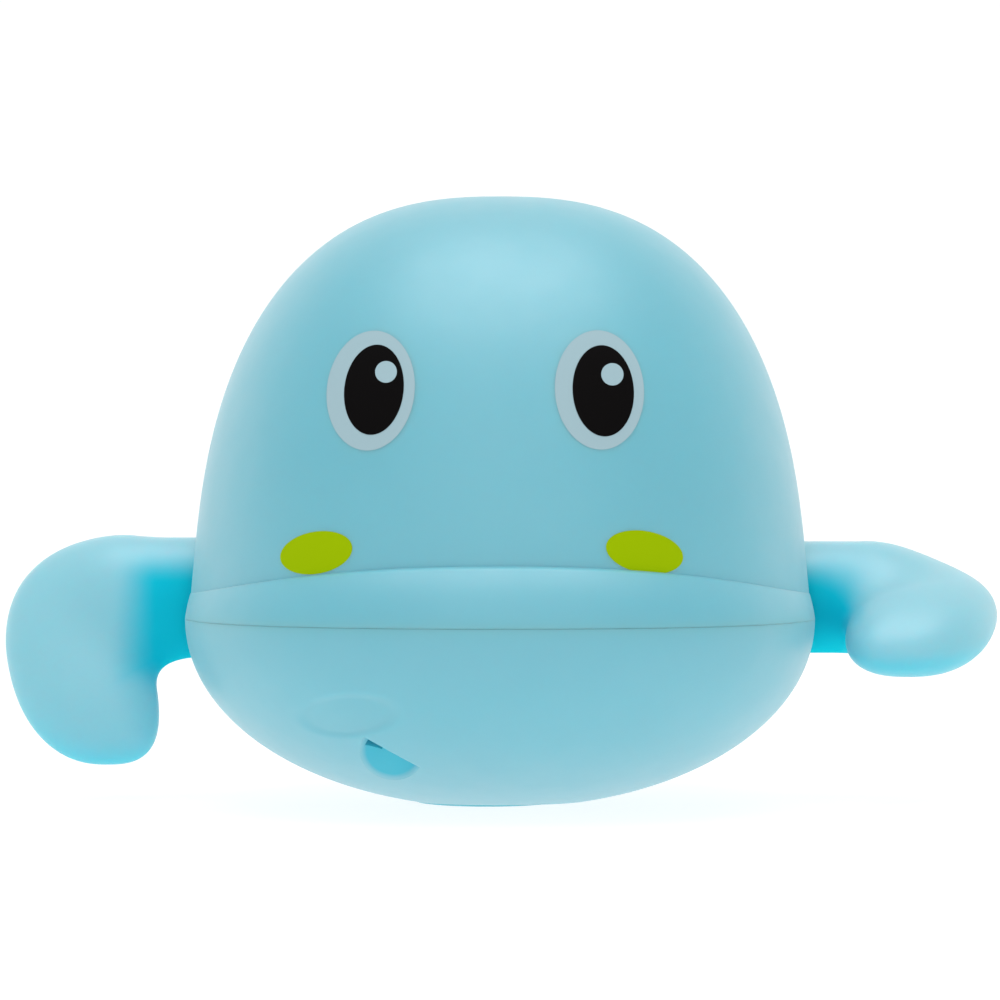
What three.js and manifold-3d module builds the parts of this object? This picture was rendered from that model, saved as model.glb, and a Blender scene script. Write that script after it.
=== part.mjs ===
// Wind-up swimming toy: two plastic shells, a pair of flippers on one axle and a spring gear case.
// Millimetres, +Z up. The face looks along -Y. The origin is on the floor, under the flat foot.
import * as THREE from 'three';
import { mergeVertices } from 'three/addons/utils/BufferGeometryUtils.js';
import Module from 'manifold-3d';

const wasm = await Module();
wasm.setup();

// Body shape
const HULL_DEPTH = 22.9;
const HULL_FLAT = 0.55;
const SEAM_Z = HULL_DEPTH - HULL_FLAT;
const DOME_H = 50.55;
const DOME_HALF_W = 37.5;
const DOME_FRONT = 41.5;
const DOME_REAR = 45;
const DOME_TAPER = 0.086;
const DOME_POWER = 2.66;
const DOME_FRONT_POWER = 2.4;
const DOME_REAR_POWER = 2;
const PLAN_POWER = 2.3;
const HULL_POWER = 2.08;
const WALL = 1.8;

// Lip band along the lower edge of the dome, deepest at the front
const LIP_FRONT_H = 7;
const LIP_SIDE_H = 2.9;
const LIP_FRONT_OUT = 2;
const LIP_SIDE_OUT = 0.25;
const LIP_FADE = 1.5;
const LIP_ROLL = 1.7;

// Seam and its locating spigot on the lower shell
const SEAM_GAP = 0.3;
const SPIGOT_H = 2;
const SPIGOT_T = 1;
const SPIGOT_FIT = 0.3;

// Foot pad, drain scoop with its slot, and the shallow oval recess beside it
const FOOT_STEP = 0.4;
const FOOT_HALF_W = 8.8;
const FOOT_HALF_L = 10;
const FOOT_X = -1.5;
const SCOOP_R = 3.5;
const SCOOP_X = -12.4;
const SCOOP_BELOW_SEAM = 14.5;
const SCOOP_TILT = -30.5;
const SCOOP_DEPTH = 1;
const SLOT_W = 1.9;
const SLOT_H = 1;
const SLOT_ALONG = -2.1;
const SLOT_BELOW = 0.6;
const RECESS_X = -17.2;
const RECESS_BELOW_SEAM = 10.15;
const RECESS_HALF_W = 6.3;
const RECESS_HALF_H = 2.8;
const RECESS_TILT = 5;
const RECESS_DEPTH = 0.35;

// Short tail on the back
const TAIL_HALF_W = 9;
const TAIL_HALF_H = 5.5;
const TAIL_OUT = 11;
const TAIL_RISE = 3;
const TAIL_ABOVE_SEAM = 9;

// Axle, set behind the middle, and the round sockets that the flipper necks turn in
const AXLE_Y = 8;
const AXLE_ABOVE_SEAM = 2.05;
const AXLE_R = 1.5;
const AXLE_HALF = 52;
const PRESS = 0.12;
const RUN = 0.2;
const SOCKET_R = 7.9;
const SOCKET_IN = 2.5;
const SOCKET_T = 2;
const SOCKET_RIM = 1.6;

// Flippers: neck, paddle and the soft swell between them. Distances out are from the dome's side.
const NECK_GAP = 0.4;
const NECK_R = 7.4;
const NECK_HALF_T = 6.75;
const NECK_TURN = 7.2;
const NECK_ROUND = 8.3;
const PADDLE_OUT = 13.6;
const PADDLE_LEAN = 0.21;
const PADDLE_CURL = 0.006;
const PADDLE_DROP = 8.8;
const PADDLE_HALF_W = 8.8;
const PADDLE_HALF_T = 5;
const PADDLE_UP = 14.3;
const PADDLE_DOWN = 13;
const PADDLE_POWER = 2.57;
const SWELL = 4.4;
const LEFT_TURN = 71.5;
const RIGHT_TURN = 24.5;

// Axle bushes
const BUSH_R = 4;
const BUSH_FIT = 0.3;
const BUSH_FLANGE_R = 5.5;
const BUSH_FLANGE_T = 1.3;
const BUSH_BACK = 0.2;

// Gear train, all wheels lie across X
const MODULE = 0.7;
const PRESSURE = 20;
const BACKLASH = 0.26;
const ADDENDUM = 0.85;
const DEDENDUM = 1.25;
const MESH_EASE = 0.08;
const PINION_TEETH = 12;
const IDLER_TEETH = 24;
const GREAT_TEETH = 36;
const IDLER_LEAN = 165;
const GREAT_LEAN = 105;
const TRAIN_X = -6.5;
const PINION_W = 4;
const LAYER_GAP = 0.8;
const GREAT_W = 3;
const SHAFT_R = 1;
const HUB_R = 2.3;
const END_PLAY = 0.3;

// Spring barrel on the great wheel
const DRUM_R = 11;
const DRUM_T = 1.2;
const DRUM_W = 6;
const COVER_T = 1.1;
const COVER_FIT = 0.2;
const ARBOR_R = 1.5;
const SPRING_T = 0.4;
const SPRING_TURNS = 4.5;
const SPRING_PITCH = 1.35;
const SPRING_SEAT = 0.3;

// Gear case
const CASE_WALL = 1.5;
const CASE_ROOM = 1.2;
const CASE_SIDE = 1;
const CASE_GAP = 0.3;
const LUG_R = 3;
const LUG_BITE = 1.2;
const TAB_W = 9;
const TAB_OUT = 8.5;
const TAB_T = 2;
const TAB_REACH = 4.5;
const TAB_SEAT = 0.3;

// Screws
const SCREW_R = 1;
const SCREW_HEAD_R = 2.1;
const SCREW_HEAD_T = 1.3;
const SCREW_FIT = 0.25;
const SCREW_GRIP = 0.12;
const SCREW_SEAT = 0.1;
const SLOT_CUT = 0.6;
const CASE_SCREW_L = 17;
const TAB_SCREW_L = 8;
const SHELL_SCREW_L = 17;
const POST_R = 4;
const BOSS_R = 2.8;
const SHOULDER = 8;
const FRONT_POST_IN = 12.5;
const FRONT_POST_Y = -6;
const REAR_POST_IN = 15.5;
const REAR_POST_Y = 22;
const FRONT_POST = [DOME_HALF_W - FRONT_POST_IN, FRONT_POST_Y];
const REAR_POST = [DOME_HALF_W - REAR_POST_IN, REAR_POST_Y];

// Facets
const AROUND = 42;
const DOME_ROWS = 11;
const LIP_ROWS = 3;
const INNER_ROWS = 6;
const HULL_ROWS = 6;
const ROUND = 14;
const FLIPPER_AROUND = 28;
const FLIPPER_ROWS = 16;

// Finishes
const shellPlastic = new THREE.MeshStandardMaterial({ color: 0x93cbdb, roughness: 0.45, metalness: 0 });
const flipperPlastic = new THREE.MeshStandardMaterial({ color: 0x96d2e0, roughness: 0.5, metalness: 0 });
const casePlastic = new THREE.MeshStandardMaterial({ color: 0xe8e6df, roughness: 0.5, metalness: 0 });
const gearPlastic = new THREE.MeshStandardMaterial({ color: 0xf2efe6, roughness: 0.4, metalness: 0 });
const steel = new THREE.MeshStandardMaterial({ color: 0xb8bbc0, roughness: 0.35, metalness: 1 });

const rad = THREE.MathUtils.degToRad;
const AXLE_Z = SEAM_Z + AXLE_ABOVE_SEAM;
const SOCKET_D = DOME_HALF_W - SOCKET_IN;
const DOME_FOOT = { w: DOME_HALF_W, f: DOME_FRONT, r: DOME_REAR };

// Turns a closed triangle mesh into a solid for adding and cutting.
function solid(geometry) {
  const g = geometry.clone();
  g.deleteAttribute('normal');
  g.deleteAttribute('uv');
  const m = mergeVertices(g, 1e-5);
  return new wasm.Manifold(new wasm.Mesh({
    numProp: 3,
    vertProperties: new Float32Array(m.attributes.position.array),
    triVerts: new Uint32Array(m.index.array),
  }));
}

function surface(body) {
  const mesh = body.getMesh();
  const g = new THREE.BufferGeometry();
  g.setAttribute('position', new THREE.BufferAttribute(new Float32Array(mesh.vertProperties), 3));
  g.setIndex(new THREE.BufferAttribute(new Uint32Array(mesh.triVerts), 1));
  return g;
}

// A closed skin through rings of equal point count, from one end point to the other.
function loft(start, rings, end) {
  const n = rings[0].length;
  const points = [start, ...rings.flat(), end];
  const last = points.length - 1;
  const tris = [];
  for (let i = 0; i < n; i++) {
    const j = (i + 1) % n;
    tris.push(0, 1 + j, 1 + i);
    for (let k = 0; k + 1 < rings.length; k++) {
      const a = 1 + k * n;
      const b = a + n;
      tris.push(a + i, a + j, b + j, a + i, b + j, b + i);
    }
    const e = 1 + (rings.length - 1) * n;
    tris.push(e + i, e + j, last);
  }
  let volume = 0;
  for (let k = 0; k < tris.length; k += 3) {
    const cross = points[tris[k + 1]].clone().cross(points[tris[k + 2]]);
    volume += points[tris[k]].dot(cross);
  }
  const g = new THREE.BufferGeometry().setFromPoints(points);
  g.setIndex(volume > 0 ? tris : tris.reverse());
  return solid(g);
}

// One point of a body ring. phi is measured from the front, and the halves have their own lengths.
function planPoint(phi, size, z) {
  const s = Math.sin(phi);
  const c = Math.cos(phi);
  const x = size.w * Math.sign(s) * Math.abs(s) ** (2 / PLAN_POWER);
  const length = c > 0 ? size.f : size.r;
  const y = -length * Math.sign(c) * Math.abs(c) ** (2 / PLAN_POWER);
  return new THREE.Vector3(x, y, z);
}

function ring(sizeAt, zAt) {
  return Array.from({ length: AROUND }, (_, i) => {
    const phi = (2 * Math.PI * i) / AROUND;
    const z = typeof zAt === 'function' ? zAt(phi) : zAt;
    return planPoint(phi, sizeAt(phi, z), z);
  });
}

const fall = (t, power) => Math.max(0, 1 - t ** power) ** (1 / power);
const grown = (size, d) => ({ w: size.w + d, f: size.f + d, r: size.r + d });
const scaled = (size, s) => ({ w: size.w * s, f: size.f * s, r: size.r * s });

// Dome half sizes at a height, for a skin inset from the outer one.
function domeSize(z, inset) {
  const t = Math.min(1, Math.max(0, (z - SEAM_Z) / (DOME_H - inset)));
  return {
    w: (DOME_HALF_W - inset) * (1 - DOME_TAPER * t) * fall(t, DOME_POWER),
    f: (DOME_FRONT - inset) * fall(t, DOME_FRONT_POWER),
    r: (DOME_REAR - inset) * fall(t, DOME_REAR_POWER),
  };
}

// How far the lip stands out and up, from the front round to the side.
const toFront = (phi) => Math.max(0, Math.cos(phi));
const lipOut = (phi) => LIP_SIDE_OUT + (LIP_FRONT_OUT - LIP_SIDE_OUT) * toFront(phi) ** LIP_FADE;
const lipHeight = (phi) => LIP_SIDE_H + (LIP_FRONT_H - LIP_SIDE_H) * toFront(phi);

// Rows of rings up the dome from a starting height, closer together towards the top.
function domeRows(rows, fromZ, inset) {
  return Array.from({ length: rows }, (_, k) => {
    const rise = Math.sin((Math.PI / 2) * (k / rows)) ** (2 / DOME_POWER);
    const zAt = (phi) => fromZ(phi) + (SEAM_Z + DOME_H - inset - fromZ(phi)) * rise;
    return ring((phi, z) => domeSize(z, inset), zAt);
  });
}

// Hull rings from the seam down to a flat, for a skin inset from the outer one.
function hullRows(rows, fromZ, flatZ, inset) {
  const depth = HULL_DEPTH - inset;
  const first = Math.asin(Math.min(1, (SEAM_Z - fromZ) / depth) ** (HULL_POWER / 2));
  const last = Math.asin(Math.min(1, (SEAM_Z - flatZ) / depth) ** (HULL_POWER / 2));
  return Array.from({ length: rows + 1 }, (_, k) => {
    const t = Math.sin(first + (last - first) * (k / rows)) ** (2 / HULL_POWER);
    const sizeAt = (phi) => scaled(grown(DOME_FOOT, lipOut(phi) - inset), fall(t, HULL_POWER));
    return ring(sizeAt, SEAM_Z - depth * t);
  });
}

const at = (x, y, z) => new THREE.Vector3(x, y, z);
const domeTop = (inset) => at(0, 0, SEAM_Z + DOME_H - inset);

// Solid forms of the body, used to trim posts, tail and scoop to it.
function domeBody(inset) {
  const rows = domeRows(DOME_ROWS, () => SEAM_Z, inset);
  return loft(at(0, 0, SEAM_Z), rows, domeTop(inset));
}

function hullBody(inset, flatZ) {
  const rows = hullRows(HULL_ROWS, SEAM_Z, flatZ, inset);
  return loft(at(0, 0, SEAM_Z), rows, at(0, 0, flatZ));
}

function rodZ(radius, z0, z1, x, y, sides = ROUND) {
  const g = new THREE.CylinderGeometry(radius, radius, z1 - z0, sides);
  g.rotateX(Math.PI / 2);
  g.translate(x, y, (z0 + z1) / 2);
  return solid(g);
}

function rodX(radius, x0, x1, y, z, sides = ROUND) {
  const g = new THREE.CylinderGeometry(radius, radius, x1 - x0, sides);
  g.rotateZ(Math.PI / 2);
  g.translate((x0 + x1) / 2, y, z);
  return solid(g);
}

// A level slab wider than the toy, between two heights.
function slab(z0, z1) {
  const g = new THREE.BoxGeometry(4 * DOME_HALF_W, 4 * DOME_REAR, z1 - z0);
  g.translate(0, 0, (z0 + z1) / 2);
  return solid(g);
}

// A rod round the axle line between two distances out from the middle, on one side.
function sideRod(side, radius, d0, d1) {
  const ends = [side * d0, side * d1].sort((a, b) => a - b);
  return rodX(radius, ends[0], ends[1], AXLE_Y, AXLE_Z, 28);
}

// A shell with its part of the socket on one side: a thick pad, the sunk face and the bush hole.
function socketed(shell, side, core, keep) {
  const pad = sideRod(side, SOCKET_R + SOCKET_RIM, SOCKET_D - SOCKET_T, DOME_HALF_W);
  const sink = sideRod(side, SOCKET_R, SOCKET_D, 2 * DOME_HALF_W);
  const hole = sideRod(side, BUSH_R + BUSH_FIT, SOCKET_D - 2 * SOCKET_T, 2 * DOME_HALF_W);
  return shell.add(pad.intersect(core).intersect(keep)).subtract(sink).subtract(hole);
}

// A flat outline in the X-Y plane given height along Z.
function raised(shape, height, segments) {
  const settings = { depth: height, bevelEnabled: false, curveSegments: segments };
  return solid(new THREE.ExtrudeGeometry(shape, settings));
}

// Stands an outline upright, tilts it and sets it into the hull from the front.
function fromFront(body, tilt, x, z) {
  return body.rotate([0, 0, tilt]).rotate([90, 0, 0]).translate([x, -20, z]);
}

// A flat outline in the Y-Z plane given thickness along X.
function sliceX(shape, x0, x1) {
  const g = new THREE.ExtrudeGeometry(shape, { depth: x1 - x0, bevelEnabled: false, curveSegments: 12 });
  g.applyMatrix4(new THREE.Matrix4().set(0, 0, 1, x0, 1, 0, 0, 0, 0, 1, 0, 0, 0, 0, 0, 1));
  return solid(g);
}

// A body of revolution about X from (radius, x) pairs.
function turnedX(pairs, sides = ROUND) {
  const g = new THREE.LatheGeometry(pairs.map(([r, x]) => new THREE.Vector2(r, x)), sides);
  g.rotateZ(-Math.PI / 2);
  const body = solid(g);
  return body.volume() > 0 ? body : solid(flipped(g));
}

function flipped(geometry) {
  const g = geometry.clone();
  g.index.array.reverse();
  return g;
}

const group = new THREE.Group();
group.name = 'wind_up_swimmer';

function add(name, body, material) {
  const m = new THREE.Mesh(surface(body), material);
  m.name = name;
  group.add(m);
}

// Screw along Z with a driver slot. The seat is under the head, the tip is length away.
function screw(length) {
  const head = rodZ(SCREW_HEAD_R, -SCREW_HEAD_T, 0, 0, 0, 12);
  const slot = new THREE.BoxGeometry(3 * SCREW_HEAD_R, SLOT_CUT, SCREW_HEAD_T);
  slot.translate(0, 0, -SCREW_HEAD_T);
  return head.add(rodZ(SCREW_R, -0.2, length, 0, 0, 10)).subtract(solid(slot));
}

// Gear train centres in the Y-Z plane
const pitch = (teeth) => (MODULE * teeth) / 2;
const axleAt = new THREE.Vector2(AXLE_Y, AXLE_Z);
const along = (from, distance, degrees) => new THREE.Vector2(
  from.x + distance * Math.cos(rad(degrees)),
  from.y + distance * Math.sin(rad(degrees)),
);
const idlerAt = along(axleAt, pitch(PINION_TEETH) + pitch(IDLER_TEETH) + MESH_EASE, IDLER_LEAN);
const greatAt = along(idlerAt, pitch(PINION_TEETH) + pitch(GREAT_TEETH) + MESH_EASE, GREAT_LEAN);

// Involute wheel outline with one tooth centred on a bearing in degrees.
function gearShape(teeth, bearing) {
  const rp = pitch(teeth);
  const rb = rp * Math.cos(rad(PRESSURE));
  const tip = rp + ADDENDUM * MODULE;
  const root = rp - DEDENDUM * MODULE;
  const roll = (r) => {
    const a = Math.acos(Math.min(1, rb / r));
    return Math.tan(a) - a;
  };
  const half = (r) => Math.PI / (2 * teeth) - BACKLASH / (2 * rp) + roll(rp) - roll(Math.max(r, rb));
  const flank = [root, rp, tip];
  const points = [];
  for (let i = 0; i < teeth; i++) {
    const mid = rad(bearing) + (2 * Math.PI * i) / teeth;
    const on = (r, a) => points.push(new THREE.Vector2(r * Math.cos(a), r * Math.sin(a)));
    for (const r of flank) on(r, mid - half(r));
    for (const r of [...flank].reverse()) on(r, mid + half(r));
  }
  return new THREE.Shape(points);
}

function gear(teeth, bearing, x0, x1, centre) {
  return sliceX(gearShape(teeth, bearing), x0, x1).translate([0, centre.x, centre.y]);
}

// Stations along X
const TRAIN_END = TRAIN_X + PINION_W;
const GREAT_X = TRAIN_END + LAYER_GAP;
const DRUM_X = GREAT_X + GREAT_W;
const DRUM_END = DRUM_X + DRUM_W;
const CASE_IN_L = TRAIN_X - CASE_SIDE;
const CASE_IN_R = DRUM_END + 2 * CASE_SIDE;
const CASE_OUT_L = CASE_IN_L - CASE_WALL;
const CASE_OUT_R = CASE_IN_R + CASE_WALL;
const SPLIT_X = DRUM_X;

// Upper shell: dome, lip band, tail and screw bosses
{
  const rimZ = SEAM_Z + SEAM_GAP / 2;
  const rows = domeRows(DOME_ROWS, (phi) => SEAM_Z + lipHeight(phi), 0).reverse();
  for (let k = LIP_ROWS - 1; k >= 0; k--) {
    const up = k / LIP_ROWS;
    const zAt = (phi) => rimZ + (SEAM_Z + lipHeight(phi) - rimZ) * up;
    rows.push(ring((phi, z) => grown(domeSize(z, 0), lipOut(phi) * (1 - up ** LIP_ROLL)), zAt));
  }
  rows.push(...domeRows(INNER_ROWS, () => rimZ, WALL));
  let shell = loft(domeTop(0), rows, domeTop(WALL));

  const tailRows = [];
  const tailZ = SEAM_Z + TAIL_ABOVE_SEAM;
  const tailRoot = DOME_REAR - 5;
  const tailLength = DOME_REAR + TAIL_OUT - tailRoot;
  for (let k = 0; k < 7; k++) {
    const t = Math.sin((Math.PI / 2) * (k / 7));
    const s = fall(t, 2.2);
    tailRows.push(Array.from({ length: 18 }, (_, i) => {
      const a = (2 * Math.PI * i) / 18;
      return at(
        TAIL_HALF_W * s * Math.cos(a),
        tailRoot + tailLength * t,
        tailZ + TAIL_RISE * t * t + TAIL_HALF_H * s * Math.sin(a),
      );
    }));
  }
  const tail = loft(at(0, tailRoot, tailZ), tailRows, at(0, tailRoot + tailLength, tailZ + TAIL_RISE));
  shell = shell.add(tail.subtract(domeBody(WALL * 0.6)));

  const core = domeBody(WALL / 2);
  const overRim = slab(rimZ, SEAM_Z + DOME_H);
  for (const [px, py] of [FRONT_POST, REAR_POST]) {
    for (const side of [-1, 1]) {
      const boss = rodZ(BOSS_R, rimZ, SEAM_Z + DOME_H, side * px, py);
      const boreEnd = SEAM_Z + SHELL_SCREW_L - SHOULDER + 2;
      const bore = rodZ(SCREW_R + SCREW_GRIP, rimZ - 1, boreEnd, side * px, py, 12);
      shell = shell.add(boss.intersect(core)).subtract(bore);
    }
  }
  for (const side of [-1, 1]) shell = socketed(shell, side, core, overRim);
  add('upper_shell', shell, shellPlastic);
}

// Lower shell: hull, foot pad, spigot, drain scoop, posts
const tabY = (axleAt.x + idlerAt.x) / 2;
const tabZ = idlerAt.y - pitch(IDLER_TEETH) - ADDENDUM * MODULE - CASE_ROOM - CASE_WALL + 0.6;
const tabX = { left: CASE_OUT_L - TAB_REACH, right: CASE_OUT_R + TAB_REACH };
const headZ = SEAM_Z - SHOULDER;
{
  const rimZ = SEAM_Z - SEAM_GAP / 2;
  const outSpigot = grown(DOME_FOOT, -WALL - SPIGOT_FIT);
  const inSpigot = grown(outSpigot, -SPIGOT_T);
  const topZ = SEAM_Z + SPIGOT_H;
  const floorZ = FOOT_STEP + WALL;
  const rows = hullRows(HULL_ROWS, rimZ, FOOT_STEP, 0).reverse();
  rows.push(ring(() => outSpigot, rimZ));
  rows.push(ring(() => outSpigot, topZ));
  rows.push(ring(() => inSpigot, topZ));
  rows.push(ring(() => inSpigot, SEAM_Z - SPIGOT_H));
  rows.push(...hullRows(HULL_ROWS - 1, SEAM_Z - 3 * SPIGOT_H, floorZ, WALL));
  let shell = loft(at(0, 0, FOOT_STEP), rows, at(0, 0, floorZ));

  const pad = new THREE.Shape().absellipse(FOOT_X, 0, FOOT_HALF_W, FOOT_HALF_L, 0, 2 * Math.PI);
  shell = shell.add(raised(pad, FOOT_STEP + 0.5, 28));

  const core = hullBody(WALL / 2, FOOT_STEP + WALL / 2);
  const underRim = slab(0, rimZ);
  for (const [px, py] of [FRONT_POST, REAR_POST]) {
    for (const side of [-1, 1]) {
      shell = shell.add(rodZ(POST_R, 0, rimZ, side * px, py).intersect(core));
      shell = shell.subtract(rodZ(SCREW_HEAD_R + SCREW_FIT, -1, headZ, side * px, py, 16));
      shell = shell.subtract(rodZ(SCREW_R + SCREW_FIT, -1, rimZ + 1, side * px, py, 12));
    }
  }
  for (const x of [tabX.left, tabX.right]) {
    const room = core.add(rodZ(POST_R, 10, SEAM_Z, x, tabY));
    shell = shell.add(rodZ(POST_R - 0.8, 0, tabZ - TAB_SEAT, x, tabY).intersect(room));
    shell = shell.subtract(rodZ(SCREW_R + SCREW_GRIP, tabZ - TAB_SCREW_L - 1, tabZ + 1, x, tabY, 12));
  }
  for (const side of [-1, 1]) {
    const clear = sideRod(side, SOCKET_R + SOCKET_RIM + SPIGOT_FIT, 0, DOME_HALF_W);
    shell = socketed(shell.subtract(clear.subtract(underRim)), side, core, underRim);
  }

  const scoop = new THREE.Shape();
  scoop.absarc(0, 0, SCOOP_R, Math.PI, 2 * Math.PI, false);
  scoop.closePath();
  const scoopCut = fromFront(raised(scoop, 30, 14), SCOOP_TILT, SCOOP_X, SEAM_Z - SCOOP_BELOW_SEAM);
  shell = shell.subtract(scoopCut.subtract(hullBody(SCOOP_DEPTH, FOOT_STEP + SCOOP_DEPTH)));
  const slot = new THREE.BoxGeometry(SLOT_W, SLOT_H, 30);
  slot.translate(SLOT_ALONG, -SLOT_BELOW, 15);
  shell = shell.subtract(fromFront(solid(slot), SCOOP_TILT, SCOOP_X, SEAM_Z - SCOOP_BELOW_SEAM));
  const recess = new THREE.Shape().absellipse(0, 0, RECESS_HALF_W, RECESS_HALF_H, 0, 2 * Math.PI);
  const recessCut = fromFront(raised(recess, 30, 28), RECESS_TILT, RECESS_X, SEAM_Z - RECESS_BELOW_SEAM);
  shell = shell.subtract(recessCut.subtract(hullBody(RECESS_DEPTH, FOOT_STEP + RECESS_DEPTH)));
  add('lower_shell', shell, shellPlastic);
}

// Flippers: below zero inside. d is the distance out, r runs down the paddle and t across it.
const neckIn = SOCKET_D + NECK_GAP;
const neckTurn = DOME_HALF_W + NECK_TURN;
const paddleOut = DOME_HALF_W + PADDLE_OUT;
function flipperField(d, r, t) {
  const end = Math.max(0, (d - neckTurn) / NECK_ROUND);
  const neck = (Math.hypot(r / NECK_R, t / NECK_HALF_T, end) - 1) * NECK_HALF_T;
  const down = r - PADDLE_DROP;
  const power = down > 0 ? PADDLE_POWER : 2;
  const length = down > 0 ? PADDLE_DOWN : PADDLE_UP;
  const middle = paddleOut - PADDLE_LEAN * down - PADDLE_CURL * down ** 2;
  const across = (Math.abs(d - middle) / PADDLE_HALF_W) ** power;
  const outline = (across + (Math.abs(down) / length) ** power) ** (1 / power);
  const paddle = (Math.hypot(outline, t / PADDLE_HALF_T) - 1) * PADDLE_HALF_T;
  const h = THREE.MathUtils.clamp(0.5 + (paddle - neck) / (2 * SWELL), 0, 1);
  const joined = paddle * (1 - h) + neck * h - SWELL * h * (1 - h);
  return Math.max(joined, SOCKET_D - 5 - d);
}

// The skin is found along rays from a point inside, closer together towards the paddle's tip.
function flipper(side, turn) {
  const heart = at(paddleOut - 2.8, 0, -3);
  const onSkin = (out, down, across) => {
    let near = 0;
    let far = 40;
    for (let i = 0; i < 40; i++) {
      const s = (near + far) / 2;
      if (flipperField(heart.x + out * s, -heart.z + down * s, across * s) < 0) near = s;
      else far = s;
    }
    return at(heart.x + out * near, across * near, heart.z - down * near);
  };
  const rows = [];
  for (let k = 1; k < FLIPPER_ROWS; k++) {
    const a = Math.PI * (k / FLIPPER_ROWS);
    rows.push(Array.from({ length: FLIPPER_AROUND }, (_, i) => {
      const b = (2 * Math.PI * i) / FLIPPER_AROUND;
      const c = b - 0.5 * Math.sin(b);
      return onSkin(-Math.cos(a), Math.sin(a) * Math.cos(c), Math.sin(a) * Math.sin(c));
    }));
  }
  let body = loft(onSkin(-1, 0, 0), rows, onSkin(1, 0, 0));
  body = body.subtract(rodX(3 * NECK_R, 0, neckIn, 0, 0));
  body = body.subtract(rodX(AXLE_R + PRESS, neckIn - 1, AXLE_HALF + RUN, 0, 0));
  body = body.rotate([-turn, 0, 0]);
  if (side < 0) body = body.mirror([1, 0, 0]);
  return body.translate([0, AXLE_Y, AXLE_Z]);
}
add('flipper_left', flipper(1, LEFT_TURN), flipperPlastic);
add('flipper_right', flipper(-1, RIGHT_TURN), flipperPlastic);

// Axle, its pinion and its bushes
add('axle', rodX(AXLE_R, -AXLE_HALF, AXLE_HALF, AXLE_Y, AXLE_Z), steel);
{
  const body = gear(PINION_TEETH, IDLER_LEAN, TRAIN_X, TRAIN_END, axleAt);
  const bore = rodX(AXLE_R + PRESS, TRAIN_X - 1, TRAIN_END + 1, AXLE_Y, AXLE_Z);
  add('axle_pinion', body.subtract(bore), gearPlastic);
}
{
  const x1 = SOCKET_D - BUSH_BACK;
  const x0 = SOCKET_D - SOCKET_T - BUSH_FIT;
  const inner = x0 - BUSH_FLANGE_T;
  const bore = AXLE_R + RUN;
  const flange = [[bore, inner], [BUSH_FLANGE_R, inner], [BUSH_FLANGE_R, x0]];
  const sleeve = [[BUSH_R, x0], [BUSH_R, x1], [bore, x1], [bore, inner]];
  const bush = turnedX([...flange, ...sleeve]);
  add('axle_bush_left', bush.translate([0, AXLE_Y, AXLE_Z]), gearPlastic);
  add('axle_bush_right', bush.mirror([1, 0, 0]).translate([0, AXLE_Y, AXLE_Z]), gearPlastic);
}

// Idler: big wheel driven by the axle pinion, and a small one that drives the great wheel
const hubEnds = [CASE_IN_L + END_PLAY, CASE_IN_R - END_PLAY];
{
  const gap = IDLER_LEAN + 180 + 180 / IDLER_TEETH;
  let body = gear(IDLER_TEETH, gap, TRAIN_X, TRAIN_END, idlerAt);
  const smallEnd = GREAT_X + GREAT_W + LAYER_GAP / 2;
  body = body.add(gear(PINION_TEETH, GREAT_LEAN, TRAIN_END - 0.2, smallEnd, idlerAt));
  body = body.add(rodX(HUB_R, hubEnds[0], hubEnds[1], idlerAt.x, idlerAt.y));
  body = body.subtract(rodX(SHAFT_R + RUN, CASE_OUT_L, CASE_OUT_R, idlerAt.x, idlerAt.y, 16));
  add('idler_wheel', body, gearPlastic);
  const shaft = rodX(SHAFT_R, CASE_OUT_L + END_PLAY, CASE_OUT_R - END_PLAY, idlerAt.x, idlerAt.y, 16);
  add('idler_shaft', shaft, steel);
}

// Great wheel with the drum, its cover, the mainspring and the fixed arbor
{
  const gap = GREAT_LEAN + 180 + 180 / GREAT_TEETH;
  let body = gear(GREAT_TEETH, gap, GREAT_X, DRUM_X, greatAt);
  body = body.add(rodX(DRUM_R, GREAT_X + 0.5, DRUM_END, greatAt.x, greatAt.y, 40));
  body = body.subtract(rodX(DRUM_R - DRUM_T, DRUM_X, DRUM_END + 1, greatAt.x, greatAt.y, 40));
  body = body.add(rodX(HUB_R + 0.5, hubEnds[0], GREAT_X + 0.5, greatAt.x, greatAt.y));
  body = body.subtract(rodX(ARBOR_R + RUN, CASE_OUT_L, CASE_OUT_R, greatAt.x, greatAt.y));
  add('great_wheel', body, gearPlastic);

  let cover = rodX(DRUM_R - DRUM_T - COVER_FIT, DRUM_END - COVER_T, DRUM_END, greatAt.x, greatAt.y, 40);
  cover = cover.add(rodX(HUB_R + 0.5, DRUM_END - 0.2, hubEnds[1], greatAt.x, greatAt.y));
  cover = cover.subtract(rodX(ARBOR_R + RUN, CASE_OUT_L, CASE_OUT_R, greatAt.x, greatAt.y));
  add('barrel_cover', cover, gearPlastic);

  const outer = DRUM_R - DRUM_T - SPRING_SEAT;
  const steps = Math.round(SPRING_TURNS * 18);
  const coil = (offset) => Array.from({ length: steps + 1 }, (_, i) => {
    const a = (2 * Math.PI * SPRING_TURNS * i) / steps;
    const r = outer - offset - (SPRING_PITCH * a) / (2 * Math.PI);
    return new THREE.Vector2(r * Math.cos(a), r * Math.sin(a));
  });
  const strip = new THREE.Shape([...coil(0), ...coil(SPRING_T).reverse()]);
  const spring = sliceX(strip, DRUM_X + END_PLAY, DRUM_END - COVER_T - END_PLAY);
  add('mainspring', spring.translate([0, greatAt.x, greatAt.y]), steel);
  const arbor = rodX(ARBOR_R, CASE_OUT_L + END_PLAY, CASE_OUT_R - END_PLAY, greatAt.x, greatAt.y);
  add('spring_arbor', arbor, steel);
}

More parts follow.
